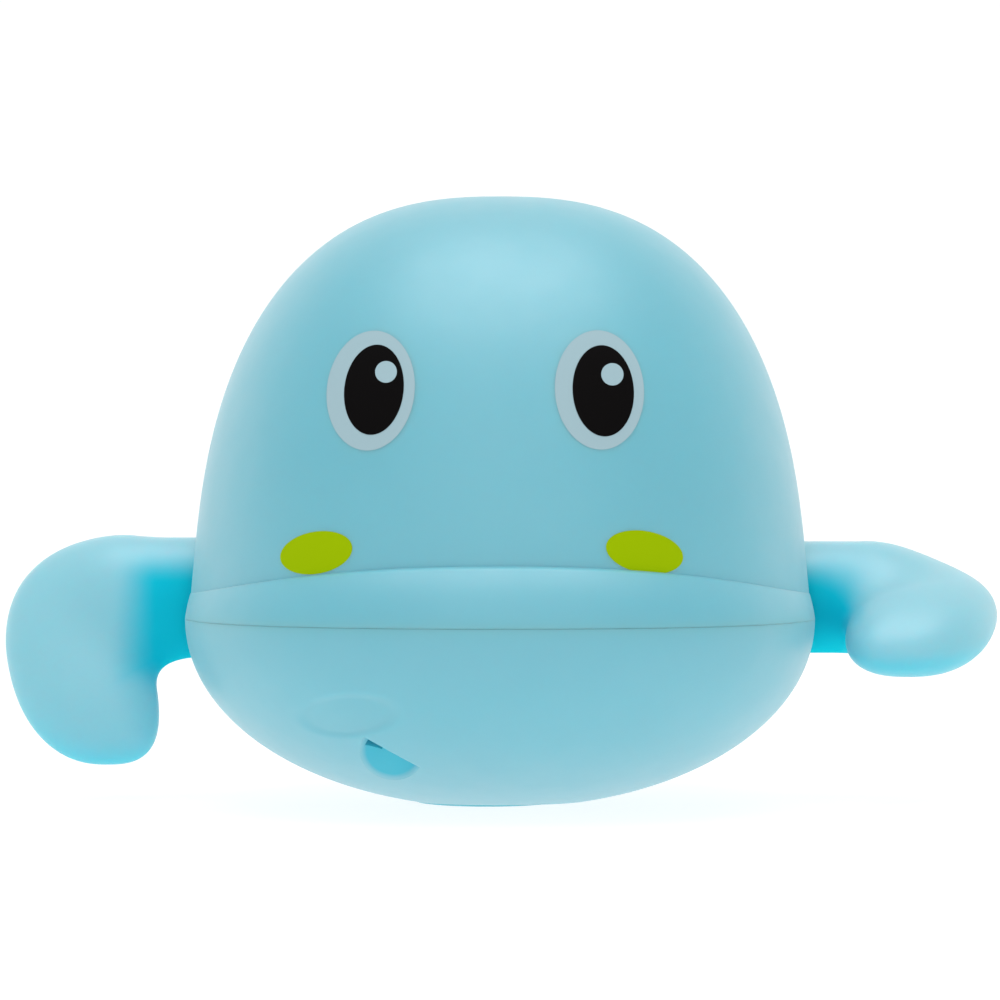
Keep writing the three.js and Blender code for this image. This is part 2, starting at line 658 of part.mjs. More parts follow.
// Convex outline round circles given as {c, r}.
function wrapped(circles) {
  const points = circles.flatMap(({ c, r }) => Array.from({ length: 24 }, (_, i) => along(c, r, i * 15)));
  points.sort((p, q) => p.x - q.x || p.y - q.y);
  const turn = (o, a, b) => (a.x - o.x) * (b.y - o.y) - (a.y - o.y) * (b.x - o.x);
  const chain = (list) => {
    const out = [];
    for (const p of list) {
      while (out.length > 1 && turn(out[out.length - 2], out[out.length - 1], p) <= 1e-9) out.pop();
      out.push(p);
    }
    out.pop();
    return out;
  };
  return new THREE.Shape([...chain(points), ...chain([...points].reverse())]);
}

// Gear case: two trays that meet round the wheels, with lugs for the case screws and a tab each
{
  const roomFor = (teeth) => pitch(teeth) + ADDENDUM * MODULE + CASE_ROOM;
  const rooms = (extra) => [
    { c: axleAt, r: roomFor(PINION_TEETH) + extra },
    { c: idlerAt, r: roomFor(IDLER_TEETH) + extra },
    { c: greatAt, r: roomFor(GREAT_TEETH) + extra },
  ];
  const outside = wrapped(rooms(CASE_WALL));
  const inside = wrapped(rooms(0));
  const lugAt = (c, teeth, bearing) => along(c, roomFor(teeth) + CASE_WALL + LUG_R - LUG_BITE, bearing);
  const lugs = [
    lugAt(axleAt, PINION_TEETH, -15),
    lugAt(greatAt, GREAT_TEETH, 30),
    lugAt(greatAt, GREAT_TEETH, 205),
  ];
  const headX = CASE_OUT_R;
  const half = (x0, x1, in0, in1, tab, name) => {
    let body = sliceX(outside, x0, x1);
    for (const p of lugs) body = body.add(rodX(LUG_R, x0, x1, p.x, p.y));
    body = body.subtract(sliceX(inside, in0, in1));
    const shape = new THREE.Shape();
    const wide = TAB_W / 2;
    const far = TAB_OUT - wide;
    shape.moveTo(-1, -wide).lineTo(far, -wide);
    shape.absarc(far, 0, wide, -Math.PI / 2, Math.PI / 2, false).lineTo(-1, wide);
    const g = new THREE.ExtrudeGeometry(shape, { depth: TAB_T, bevelEnabled: false, curveSegments: 8 });
    if (tab < 0) g.rotateZ(Math.PI);
    g.translate(tab < 0 ? x0 : x1, tabY, tabZ);
    body = body.add(solid(g));
    const holeX = tab < 0 ? tabX.left : tabX.right;
    body = body.subtract(rodZ(SCREW_R + SCREW_FIT, tabZ - 1, tabZ + TAB_T + 1, holeX, tabY, 12));
    const far0 = CASE_OUT_L - 1;
    const far1 = CASE_OUT_R + 1;
    body = body.subtract(rodX(AXLE_R + 2 * RUN, far0, far1, axleAt.x, axleAt.y));
    body = body.subtract(rodX(SHAFT_R + PRESS, far0, far1, idlerAt.x, idlerAt.y, 16));
    body = body.subtract(rodX(ARBOR_R + PRESS, far0, far1, greatAt.x, greatAt.y));
    for (const p of lugs) {
      const bore = tab < 0 ? SCREW_R + SCREW_GRIP : SCREW_R + SCREW_FIT;
      body = body.subtract(rodX(bore, headX - CASE_SCREW_L - 1, far1, p.x, p.y, 12));
    }
    add(name, body, casePlastic);
  };
  half(CASE_OUT_L, SPLIT_X - CASE_GAP / 2, CASE_IN_L, SPLIT_X + 1, -1, 'gear_case_right');
  half(SPLIT_X + CASE_GAP / 2, CASE_OUT_R, SPLIT_X - 1, CASE_IN_R, 1, 'gear_case_left');
  lugs.forEach((p, i) => {
    const body = screw(CASE_SCREW_L).rotate([0, -90, 0]).translate([headX + SCREW_SEAT, p.x, p.y]);
    add(`case_screw_${i + 1}`, body, steel);
  });
  const tabTop = tabZ + TAB_T + SCREW_SEAT;
  add('tab_screw_left', screw(TAB_SCREW_L).rotate([180, 0, 0]).translate([tabX.right, tabY, tabTop]), steel);
  add('tab_screw_right', screw(TAB_SCREW_L).rotate([180, 0, 0]).translate([tabX.left, tabY, tabTop]), steel);
}

// Screws that hold the shells together, from below
for (const [place, [px, py]] of [['front', FRONT_POST], ['rear', REAR_POST]]) {
  for (const [hand, side] of [['left', 1], ['right', -1]]) {
    const body = screw(SHELL_SCREW_L).translate([side * px, py, headZ - SCREW_SEAT]);
    add(`shell_screw_${place}_${hand}`, body, steel);
  }
}

export default group;
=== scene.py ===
import math

import bmesh
import bpy
import numpy as np
from mathutils import Matrix, Vector


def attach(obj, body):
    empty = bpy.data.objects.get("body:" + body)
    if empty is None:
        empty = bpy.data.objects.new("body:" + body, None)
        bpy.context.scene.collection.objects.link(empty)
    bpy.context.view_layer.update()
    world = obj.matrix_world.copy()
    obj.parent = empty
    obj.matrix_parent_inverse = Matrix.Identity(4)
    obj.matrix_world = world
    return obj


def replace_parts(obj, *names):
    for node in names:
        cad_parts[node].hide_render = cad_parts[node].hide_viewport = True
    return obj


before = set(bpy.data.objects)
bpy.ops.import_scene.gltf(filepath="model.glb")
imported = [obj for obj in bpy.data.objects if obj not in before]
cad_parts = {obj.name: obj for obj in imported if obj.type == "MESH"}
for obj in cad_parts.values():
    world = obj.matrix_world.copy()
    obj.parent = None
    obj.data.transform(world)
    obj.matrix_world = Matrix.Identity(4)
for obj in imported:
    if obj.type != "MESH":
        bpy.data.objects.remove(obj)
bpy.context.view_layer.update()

MM = 0.001

# Body shape, in millimetres: the solids' sizes, some a little nearer to the photographed outline
SEAM_Z = 22.35
DOME_H = 50.55
DOME_HALF_W = 36.95
DOME_FRONT = 40.2
DOME_REAR = 45.0
DOME_TAPER = 0.04
DOME_FLARE = 0.55
DOME_FLARE_H = 5.0
DOME_POWER = 2.54
DOME_FRONT_POWER = 2.4
DOME_REAR_POWER = 2.0
PLAN_POWER = 2.3
HULL_DEPTH = 22.9
HULL_POWER = 2.04
WALL = 1.8
LIP_FRONT_H = 7.0
LIP_SIDE_H = 2.9
LIP_FRONT_OUT = 3.3
LIP_SIDE_OUT = 0.25
LIP_FADE = 1.5
LIP_ROLL = 2.0
LIP_LEDGE = 0.15
SEAM_GAP = 0.01
SEAM_ROUND = 0.08
SPIGOT_H = 2.0
SPIGOT_T = 1.0
SPIGOT_FIT = 0.3
FOOT_STEP = 0.4
FOOT_HALF_W = 8.8
FOOT_HALF_L = 10.0
FOOT_X = -1.5
FOOT_SUNK = 0.3
FOOT_ROUND = 0.2

# Drain scoop, and the slot through its floor. The plugs that cut them stand well out of the hull.
SCOOP_R = 3.7
SCOOP_X = -12.4
SCOOP_BELOW_SEAM = 14.5
SCOOP_TILT = -30.5
SCOOP_DEPTH = 1.4
SCOOP_LEAST = 0.04
SCOOP_RAMP = 0.8
SCOOP_CORNER = 8
# Share of the scoop's radius inside which the drain's painted shade is full; it fades out towards the arc
SCOOP_SHADE_FADE_FROM = 0.78
SCOOP_PLUG = 20.0
SLOT_W = 1.9
SLOT_H = 1.3
SLOT_ALONG = -2.1
SLOT_BELOW = 0.75
SLOT_RISE = 55.0
SLOT_PLUG = 16.0

# Shallow oval recess beside the scoop
RECESS_X = -17.2
RECESS_Z = SEAM_Z - 10.15
RECESS_HALF_W = 6.3
RECESS_HALF_H = 2.8
RECESS_TILT = 5.0
RECESS_DEPTH = 0.55
RECESS_EDGE = 0.3

# Tail
TAIL_HALF_W = 9.0
TAIL_HALF_H = 5.5
TAIL_OUT = 11.0
TAIL_RISE = 3.0
TAIL_ABOVE_SEAM = 9.0
TAIL_ROOT = 5.0
TAIL_POWER = 2.2

# Axle line, sockets and flippers
AXLE_Y = 8.0
AXLE_Z = SEAM_Z + 2.05
SOCKET_R = 7.9
SOCKET_D = 35.0
SOCKET_BACK = SOCKET_D - 1.0
SOCKET_RIM = 1.6
SOCKET_PLUG = 25.0
BUSH_HOLE_R = 4.3
BUSH_HOLE_PLUG = 5.0
NECK_IN = SOCKET_D + 0.4
NECK_R = 7.4
NECK_HALF_T = 6.75
NECK_TURN = 44.7
NECK_ROUND = 8.3
# Painted shade on the flippers: across where the neck's shade gives way to the paddle's, and how far a neck
# face turns up for full shade and full light
NECK_SHADE_FADE_FROM = 41.5
NECK_SHADE_FADE_TO = 47.5
NECK_SHADE_FACING = 0.3
NECK_LIT_FACING = 0.9
PADDLE_OUT = 51.1
PADDLE_LEAN = 0.21
PADDLE_CURL = 0.006
PADDLE_DROP = 8.8
PADDLE_HALF_W = 8.8
PADDLE_HALF_T = 5.0
PADDLE_UP = 14.3
PADDLE_DOWN = 13.0
PADDLE_POWER = 2.57
# Painted shade on the paddle by how far its faces turn down or up, and the least of it left unshaded
PADDLE_SHADE_FACING = -0.9
PADDLE_LIT_FACING = 0.4
PADDLE_LEAST_LIT = 0.42
SWELL = 4.4
FIELD_BACK = 5.0
HEART_IN = 2.8
HEART_DOWN = 3.0
RAY_REACH = 40.0
RAY_HALVINGS = 45
RAY_CROWD = 0.5
LEFT_TURN = 71.5
RIGHT_TURN = 24.5

# Screw holes under the hull, and the posts that line them
POSTS = ((25.0, -6.0), (22.0, 22.0))
POST_R = 4.0
HEAD_HOLE_R = 2.35
STEM_HOLE_R = 1.25
HEAD_Z = SEAM_Z - 8.0
HOLE_FROM_Z = -1.0
STEM_TO_Z = 40.0

# Pattern sizes in millimetres: clouding of the colour, rubbed patches, and the lines of drawn steel
CLOUD = 22.0
RUB = 4.5
DRAW_LINE_L = 5.0
DRAW_LINE_W = 0.25

# Printed face, seen from the front: middle across and up, half width, half height, lean
EYES = (
    ("right", (-14.77, 49.24, 5.07, 6.89, -6.0), (-14.38, 49.32, 3.42, 5.18, -6.0), (-13.0, 51.34, 1.25)),
    ("left", (11.33, 49.30, 5.10, 6.83, 3.0), (11.76, 49.19, 3.51, 5.22, 3.0), (12.81, 51.06, 1.28)),
)
CHEEKS = (
    ("right", (-20.95, 30.74, 4.26, 2.39, 11.0)),
    ("left", (16.41, 30.85, 4.49, 2.39, -11.0)),
)
INK = 0.03

# Light that the table gives off, against the white of the page
TABLE_GLOW = 0.84

# Table that bends up behind the toy, in metres: where it starts, its flat run, the bend and the wall
TABLE_W = 12.0
TABLE_NEAR = -2.0
TABLE_FLAT = 3.0
TABLE_BEND = 1.0
TABLE_BEND_R = 0.64
TABLE_WALL = 1.0

# Camera: distance in metres, height over the seam in millimetres, look down in radians, lens in millimetres
VIEW_AWAY = 0.6
VIEW_OVER_SEAM = 20.6
VIEW_DOWN = 0.01098
VIEW_LENS = 178.85

# Columns round and rows of the fine skins, and sides of round cuts and rods
AROUND = 400
DOME_ROWS = 110
LIP_ROWS = 28
HULL_ROWS = 140
INNER_ROWS = 40
ROUNDING_ROWS = 6
SCOOP_COLUMNS = 61
SCOOP_ROWS = 25
TAIL_COLUMNS = 97
TAIL_ROWS = 40
FLIPPER_COLUMNS = 193
FLIPPER_ROWS = 150
INK_COLUMNS = 129
INK_ROWS = 25
INK_BACK_ROWS = 9
SOCKET_SIDES = 160
FOOT_SIDES = 128
HOLE_SIDES = 64
STEM_SIDES = 48


def linear(code):
    """Linear colour from an sRGB hex code."""
    parts = [int(code[i:i + 2], 16) / 255 for i in (0, 2, 4)]
    return tuple(p / 12.92 if p <= 0.04045 else ((p + 0.055) / 1.055) ** 2.4 for p in parts) + (1.0,)


def fall(t, power):
    """How wide a rounded form still is at a share of its height."""
    return np.clip(1 - np.clip(t, 0, 1) ** power, 0, 1) ** (1 / power)


PHI = np.linspace(0, 2 * np.pi, AROUND + 1)
COS = np.cos(PHI)
LIP_OUT = LIP_SIDE_OUT + (LIP_FRONT_OUT - LIP_SIDE_OUT) * np.clip(COS, 0, 1) ** LIP_FADE
LIP_H = LIP_SIDE_H + (LIP_FRONT_H - LIP_SIDE_H) * np.clip(COS, 0, 1) ** 2


def plan(size, z):
    """One ring of points. size is half width, front and rear lengths."""
    power = 2 / PLAN_POWER
    sine = np.sin(PHI)
    x = size[0] * np.sign(sine) * np.abs(sine) ** power
    y = -np.where(COS > 0, size[1], size[2]) * np.sign(COS) * np.abs(COS) ** power
    return np.stack([x, y, z + 0 * PHI], axis=1)


def dome_size(z, inset):
    """Half width, front and rear lengths of the dome at a height."""
    t = np.clip((z - SEAM_Z) / (DOME_H - inset), 0, 1)
    flare = np.where(t < 1, DOME_FLARE * np.exp(-t * DOME_H / DOME_FLARE_H), 0)
    return (
        (DOME_HALF_W - inset) * (1 - DOME_TAPER * t) * fall(t, DOME_POWER) + flare,
        (DOME_FRONT - inset) * fall(t, DOME_FRONT_POWER),
        (DOME_REAR - inset) * fall(t, DOME_REAR_POWER),
    )


def grown(size, d):
    """Sizes of a ring moved out by a distance."""
    return tuple(s + d for s in size)


def dome_rows(count, low, inset):
    """Rings from the top of the dome down to a height."""
    top = SEAM_Z + DOME_H - inset
    rise = np.sin(np.linspace(np.pi / 2, 0, count)) ** (2 / DOME_POWER)
    return [plan(dome_size(low + (top - low) * r, inset), low + (top - low) * r) for r in rise]


FOOT_SIZE = (DOME_HALF_W + DOME_FLARE, DOME_FRONT, DOME_REAR)


def hull_rows(count, from_z, flat_z, inset):
    """Rings from a height under the seam down to a flat bottom, closed on its middle."""
    depth = HULL_DEPTH - inset
    first, last = (math.asin(min(1, (SEAM_Z - z) / depth) ** (HULL_POWER / 2)) for z in (from_z, flat_z))
    rows = []
    for a in np.linspace(first, last, count):
        t = math.sin(a) ** (2 / HULL_POWER)
        size = grown(FOOT_SIZE, LIP_OUT - inset)
        rows.append(plan(tuple(s * fall(t, HULL_POWER) for s in size), SEAM_Z - depth * t))
    rows += [rows[-1] * (k, k, 1) for k in (0.75, 0.5, 0.25, 0.0)]
    return rows


def skin(rows):
    """A grid bent onto rows of points, its seam and poles welded."""
    rows = np.array(rows)
    bm = bmesh.new()
    bmesh.ops.create_grid(bm, x_segments=rows.shape[1] - 1, y_segments=rows.shape[0] - 1, size=0.5)
    for v in bm.verts:
        i = round((v.co.x + 0.5) * (rows.shape[1] - 1))
        k = round((v.co.y + 0.5) * (rows.shape[0] - 1))
        v.co = Vector(rows[k, i]) * MM
    bmesh.ops.remove_doubles(bm, verts=bm.verts, dist=1e-7)
    bmesh.ops.recalc_face_normals(bm, faces=bm.faces)
    return bm


def piece(name, bm, material, body, smooth=35):
    """A finished object from a bmesh, riding on a body."""
    mesh = bpy.data.meshes.new(name)
    bm.to_mesh(mesh)
    bm.free()
    finish(mesh, smooth)
    obj = bpy.data.objects.new(name, mesh)
    bpy.context.collection.objects.link(obj)
    mesh.materials.append(material)
    if body:
        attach(obj, body)
    return obj


def finish(mesh, smooth):
    """Smooth shading, with edges sharper than an angle kept crisp."""
    mesh.shade_smooth()
    mesh.set_sharp_from_angle(angle=math.radians(smooth))


def cut(obj, cutters, material=None, smooth=35):
    """Cuts closed forms out of a piece, then takes them away."""
    for bm in cutters:
        tool = piece("cutter", bm, material or obj.data.materials[0], None)
        mod = obj.modifiers.new("cut", "BOOLEAN")
        mod.operation = "DIFFERENCE"
        mod.solver = "EXACT"
        mod.object = tool
        mod.material_mode = "TRANSFER"
        fresh = bpy.data.meshes.new_from_object(obj.evaluated_get(bpy.context.evaluated_depsgraph_get()))
        obj.modifiers.remove(mod)
        obj.data = fresh
        bpy.data.objects.remove(tool)
    finish(obj.data, smooth)


def rod(bm, radius, start, end, sides=96):
    """Adds a closed rod between two points."""
    a, b = Vector(start) * MM, Vector(end) * MM
    turn = (b - a).to_track_quat("Z", "Y").to_matrix().to_4x4()
    return bmesh.ops.create_cone(
        bm, cap_ends=True, segments=sides, radius1=radius * MM, radius2=radius * MM, depth=(b - a).length,
        matrix=Matrix.Translation((a + b) / 2) @ turn,
    )["verts"]


def add(tree, kind, settings, links):
    """A shader node with its settings, linked to what feeds it."""
    node = tree.nodes.new(kind)
    for key, value in settings.items():
        if isinstance(key, str) and hasattr(node, key):
            setattr(node, key, value)
        else:
            node.inputs[key].default_value = value
    for key, source in links.items():
        tree.links.new(source, node.inputs[key])
    return node.outputs


def moulded(name, low, high, rough, grain, relief, shader, deep=None, painted_shade=None):
    """Moulded or printed plastic: slight clouding of the colour, a fine skin grain, rubbed patches.

    With a deep colour, the last argument gives a mask of painted shade: where it is 0 the deep colour
    stands in for shade, and the coat and shine are taken away with it.
    """
    mat = bpy.data.materials.new(name)
    mat.use_nodes = True
    tree = mat.node_tree
    tree.nodes.clear()
    place = add(tree, "ShaderNodeTexCoord", {}, {})["Object"]
    cloud = add(
        tree, "ShaderNodeTexNoise", {"Scale": 1 / (CLOUD * MM), "Detail": 3.0}, {"Vector": place},
    )["Fac"]
    colour = add(
        tree, "ShaderNodeMix", {"data_type": "RGBA", 6: linear(low), 7: linear(high)}, {0: cloud},
    )[2]
    rub = add(
        tree, "ShaderNodeTexNoise", {"Scale": 1 / (RUB * MM), "Detail": 5.0}, {"Vector": place},
    )["Fac"]
    gloss = add(
        tree, "ShaderNodeMapRange",
        {"From Min": 0.3, "From Max": 0.7, "To Min": rough - 0.05, "To Max": rough + 0.05},
        {"Value": rub},
    )["Result"]
    pits = add(
        tree, "ShaderNodeTexNoise", {"Scale": 1 / (grain * MM), "Detail": 2.0}, {"Vector": place},
    )["Fac"]
    bump = add(
        tree, "ShaderNodeBump", {"Strength": 0.35, "Distance": relief * MM}, {"Height": pits},
    )["Normal"]
    links = {"Base Color": colour, "Roughness": gloss, "Normal": bump}
    if deep:
        # Painted shade: the deep colour, with no coat and less shine, where the mask falls to 0
        painted_light_share = painted_shade(tree, place)
        links["Base Color"] = add(
            tree, "ShaderNodeMix", {"data_type": "RGBA", 6: linear(deep)}, {0: painted_light_share, 7: colour},
        )[2]
        links["Coat Weight"] = painted_light_share
        shine = shader.get("Specular IOR Level", 0.5)
        links["Specular IOR Level"] = add(
            tree, "ShaderNodeMath", {"operation": "MULTIPLY", 1: shine}, {0: painted_light_share},
        )["Value"]
    surface = add(tree, "ShaderNodeBsdfPrincipled", shader, links)["BSDF"]
    add(tree, "ShaderNodeOutputMaterial", {}, {"Surface": surface})
    return mat


def painted_shade_flipper(tree, place):
    """How much of a flipper is left pale: the paddle, with a painted shade on its underside, and only the
    top of the neck; the rest of the neck is painted shade.
    """
    reach = add(tree, "ShaderNodeSeparateXYZ", {}, {"Vector": place})["X"]
    reach = add(tree, "ShaderNodeMath", {"operation": "ABSOLUTE"}, {0: reach})["Value"]
    out = add(
        tree, "ShaderNodeMapRange",
        {"interpolation_type": "SMOOTHSTEP",
         "From Min": NECK_SHADE_FADE_FROM * MM, "From Max": NECK_SHADE_FADE_TO * MM},
        {"Value": reach},
    )["Result"]
    round_axle = add(
        tree, "ShaderNodeMapping",
        {"Scale": (0.0, 1.0, 1.0), "Location": (0.0, -AXLE_Y * MM, -AXLE_Z * MM)}, {"Vector": place},
    )["Vector"]
    away = add(tree, "ShaderNodeVectorMath", {"operation": "LENGTH"}, {0: round_axle})["Value"]
    down = add(
        tree, "ShaderNodeMapRange",
        {"interpolation_type": "SMOOTHSTEP", "From Min": 1.2 * NECK_R * MM, "From Max": 2 * NECK_R * MM},
        {"Value": away},
    )["Result"]
    past = add(tree, "ShaderNodeMath", {"operation": "MAXIMUM"}, {0: out, 1: down})["Value"]
    facing = add(tree, "ShaderNodeNewGeometry", {}, {})["Normal"]
    facing = add(tree, "ShaderNodeSeparateXYZ", {}, {"Vector": facing})["Z"]
    neck = add(
        tree, "ShaderNodeMapRange",
        {"interpolation_type": "SMOOTHSTEP", "From Min": NECK_SHADE_FACING, "From Max": NECK_LIT_FACING},
        {"Value": facing},
    )["Result"]
    blade = add(
        tree, "ShaderNodeMapRange",
        {"interpolation_type": "SMOOTHSTEP", "From Min": PADDLE_SHADE_FACING, "From Max": PADDLE_LIT_FACING,
         "To Min": PADDLE_LEAST_LIT},
        {"Value": facing},
    )["Result"]
    return add(tree, "ShaderNodeMix", {}, {0: past, 2: neck, 3: blade})[0]


def painted_shade_drain(tree, place):
    """How much of the drain scoop keeps the shell's colour: all of it at its arc; from there in towards the
    middle of its straight edge, by the slot, a painted shade deepens.
    """
    middle = (-SCOOP_X * MM, 0.0, (SCOOP_BELOW_SEAM - SEAM_Z) * MM)
    seen = add(
        tree, "ShaderNodeMapping", {"Scale": (1.0, 0.0, 1.0), "Location": middle}, {"Vector": place},
    )["Vector"]
    away = add(tree, "ShaderNodeVectorMath", {"operation": "LENGTH"}, {0: seen})["Value"]
    return add(
        tree, "ShaderNodeMapRange",
        {"interpolation_type": "SMOOTHSTEP",
         "From Min": SCOOP_SHADE_FADE_FROM * SCOOP_R * MM, "From Max": SCOOP_R * MM},
        {"Value": away},
    )["Result"]


def drawn(name, low, high, rough):
    """Drawn steel: fine lines along the part and small changes of tone."""
    mat = bpy.data.materials.new(name)
    mat.use_nodes = True
    tree = mat.node_tree
    tree.nodes.clear()
    place = add(tree, "ShaderNodeTexCoord", {}, {})["Object"]
    along = (1 / (DRAW_LINE_L * MM), 1 / (DRAW_LINE_W * MM), 1 / (DRAW_LINE_W * MM))
    stretch = add(tree, "ShaderNodeMapping", {"Scale": along}, {"Vector": place})["Vector"]
    lines = add(tree, "ShaderNodeTexNoise", {"Scale": 1.0, "Detail": 3.0}, {"Vector": stretch})["Fac"]
    tone = add(
        tree, "ShaderNodeTexNoise", {"Scale": 1 / (RUB * MM), "Detail": 3.0}, {"Vector": place},
    )["Fac"]
    colour = add(
        tree, "ShaderNodeMix", {"data_type": "RGBA", 6: linear(low), 7: linear(high)}, {0: tone},
    )[2]
    gloss = add(
        tree, "ShaderNodeMapRange",
        {"From Min": 0.3, "From Max": 0.7, "To Min": rough - 0.06, "To Max": rough + 0.08},
        {"Value": lines},
    )["Result"]
    bump = add(
        tree, "ShaderNodeBump", {"Strength": 0.2, "Distance": 0.01 * MM}, {"Height": lines},
    )["Normal"]
    surface = add(
        tree, "ShaderNodeBsdfPrincipled", {"Metallic": 1.0},
        {"Base Color": colour, "Roughness": gloss, "Normal": bump},
    )["BSDF"]
    add(tree, "ShaderNodeOutputMaterial", {}, {"Surface": surface})
    return mat


# ABS moulded in a finely spark-eroded tool: a satin skin with a white haze where it turns up or away,
# and light that sinks a little way in and comes out more blue. The tool's grain is some 0.03 mm,
# too fine to show, so it is drawn at 0.3 mm.
satin_abs = {
    "IOR": 1.53, "Specular IOR Level": 1.0, "Coat Weight": 1.0, "Coat Roughness": 0.5,
    "Sheen Weight": 0.12, "Sheen Roughness": 0.35,
    "Subsurface Weight": 0.6, "Subsurface Radius": (0.2, 1.0, 1.15), "Subsurface Scale": 2.5 * MM,
}
satin_abs_shell = moulded("satin_moulded_abs", "5bb9cb", "61bfd1", 0.5, 0.3, 0.012, satin_abs)

# The same ABS with a painted shade in the drain scoop and its slot, deepening from the arc in towards the
# straight edge
drain_abs_painted_shade = moulded(
    "satin_moulded_abs_painted_shade", "5bb9cb", "61bfd1", 0.5, 0.3, 0.012, satin_abs, "50b9d0", painted_shade_drain,
)

# Polypropylene moulded, pale, with painted shade: a deep blue-green on the neck and on the paddle's
# underside, darker where faces turn down, and the coat and shine taken away with it. Its grain is drawn
# coarse like the shell's.
polypropylene_painted_shade = moulded(
    "moulded_polypropylene_painted_shade", "87cbd9", "8dd1df", 0.45, 0.3, 0.01,
    {"IOR": 1.49, "Coat Roughness": 0.45,
     "Subsurface Weight": 0.8, "Subsurface Radius": (0.12, 1.0, 1.15), "Subsurface Scale": 3.0 * MM},
    deep="14c8de", painted_shade=painted_shade_flipper,
)

# Polystyrene moulded without colour added: an off-white box with a dull skin
plain_polystyrene = moulded("moulded_polystyrene", "e2e0d8", "eae8e1", 0.5, 0.3, 0.01, {"IOR": 1.59})

# Acetal moulded for wheels and bushes: a waxy white with a soft shine
waxy_acetal = moulded(
    "moulded_acetal", "eeebe1", "f4f1e8", 0.35, 0.3, 0.008,
    {"IOR": 1.48,
     "Subsurface Weight": 0.3, "Subsurface Radius": (1.0, 0.9, 0.8), "Subsurface Scale": 1.5 * MM},
)

# Pad-printed ink: a flat, matt film that hides the plastic's shine. Its tooth of some 0.02 mm is too fine
# to show and is drawn at 0.15 mm.
matt_ink = {"IOR": 1.5, "Specular IOR Level": 0.03}
pale_ink = moulded("pad_print_ink_pale", "a2bfc8", "a8c4cd", 0.6, 0.15, 0.006, matt_ink)
black_ink = moulded("pad_print_ink_black", "0b0a0a", "0f0d0e", 0.55, 0.15, 0.006, matt_ink)
lime_ink = moulded("pad_print_ink_lime", "9cbb00", "a2c100", 0.6, 0.15, 0.006, matt_ink)

# Steel drawn to wire and strip: bright grey with fine lines that stretch its highlights
bright_steel = drawn("drawn_steel", "9c9fa3", "b4b6b9", 0.32)

# Upper shell: dome, lip band, rounded rim and inner skin
rim_z = SEAM_Z + SEAM_GAP / 2
rows = dome_rows(DOME_ROWS, SEAM_Z + LIP_H, 0)
for up in np.linspace(1, 0, LIP_ROWS)[1:]:
    z = rim_z + SEAM_ROUND + (SEAM_Z + LIP_H - rim_z - SEAM_ROUND) * up
    ledge = LIP_LEDGE + (1 - LIP_LEDGE) * (1 - up ** LIP_ROLL)
    rows.append(plan(grown(dome_size(z, 0), LIP_OUT * ledge), z))
for a in np.linspace(0, np.pi / 2, ROUNDING_ROWS)[1:]:
    size = grown(dome_size(rim_z, 0), LIP_OUT - SEAM_ROUND * (1 - math.cos(a)))
    rows.append(plan(size, rim_z + SEAM_ROUND * (1 - math.sin(a))))


def backed(rows):
    """Inner rows, brought in to a flat behind the sockets."""
    for row in rows:
        away = np.hypot(row[:, 1] - AXLE_Y, row[:, 2] - AXLE_Z)
        share = np.clip((SOCKET_R + 2 * SOCKET_RIM - away) / SOCKET_RIM, 0, 1)
        over = np.clip(np.abs(row[:, 0]) - SOCKET_BACK, 0, None)
        row[:, 0] -= np.sign(row[:, 0]) * over * share
    return rows


rows += backed(dome_rows(INNER_ROWS, rim_z, WALL)[::-1])
upper = piece("upper_shell_skin", skin(rows), satin_abs_shell, "body")


def socket_cuts():
    """The two sockets and, through their floors, the holes for the axle bushes."""
    bm = bmesh.new()
    for side in (-1, 1):
        out = side * (SOCKET_D + SOCKET_PLUG)
        rod(bm, SOCKET_R, (side * SOCKET_D, AXLE_Y, AXLE_Z), (out, AXLE_Y, AXLE_Z), SOCKET_SIDES)
    holes = bmesh.new()
    for side in (-1, 1):
        back, out = (side * (SOCKET_D + far) for far in (-BUSH_HOLE_PLUG, BUSH_HOLE_PLUG))
        rod(holes, BUSH_HOLE_R, (back, AXLE_Y, AXLE_Z), (out, AXLE_Y, AXLE_Z))
    return [bm, holes]


cut(upper, socket_cuts())
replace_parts(upper, "upper_shell")

# Short tail, rooted in the back of the dome
tail_root = DOME_REAR - TAIL_ROOT
tail_length = DOME_REAR + TAIL_OUT - tail_root
tail_z = SEAM_Z + TAIL_ABOVE_SEAM
around = np.linspace(0, 2 * np.pi, TAIL_COLUMNS)
rows = []
for a in np.linspace(0, np.pi / 2, TAIL_ROWS):
    t = math.sin(a)
    s = float(fall(t, TAIL_POWER))
    rows.append(np.stack([
        TAIL_HALF_W * s * np.cos(around),
        tail_root + tail_length * t + 0 * around,
        tail_z + TAIL_RISE * t * t + TAIL_HALF_H * s * np.sin(around),
    ], axis=1))
rows.insert(0, rows[0] * (0, 1, 0) + (0, 0, tail_z))
piece("tail_skin", skin(rows), satin_abs_shell, "body")


def recess(x, z):
    """How far the shallow oval beside the scoop lies under the hull's skin."""
    tilt = math.radians(RECESS_TILT)
    u = (x - RECESS_X) * math.cos(tilt) + (z - RECESS_Z) * math.sin(tilt)
    v = (z - RECESS_Z) * math.cos(tilt) - (x - RECESS_X) * math.sin(tilt)
    edge = np.clip((1 - np.hypot(u / RECESS_HALF_W, v / RECESS_HALF_H)) / RECESS_EDGE, 0, 1)
    return RECESS_DEPTH * edge * edge * (3 - 2 * edge)


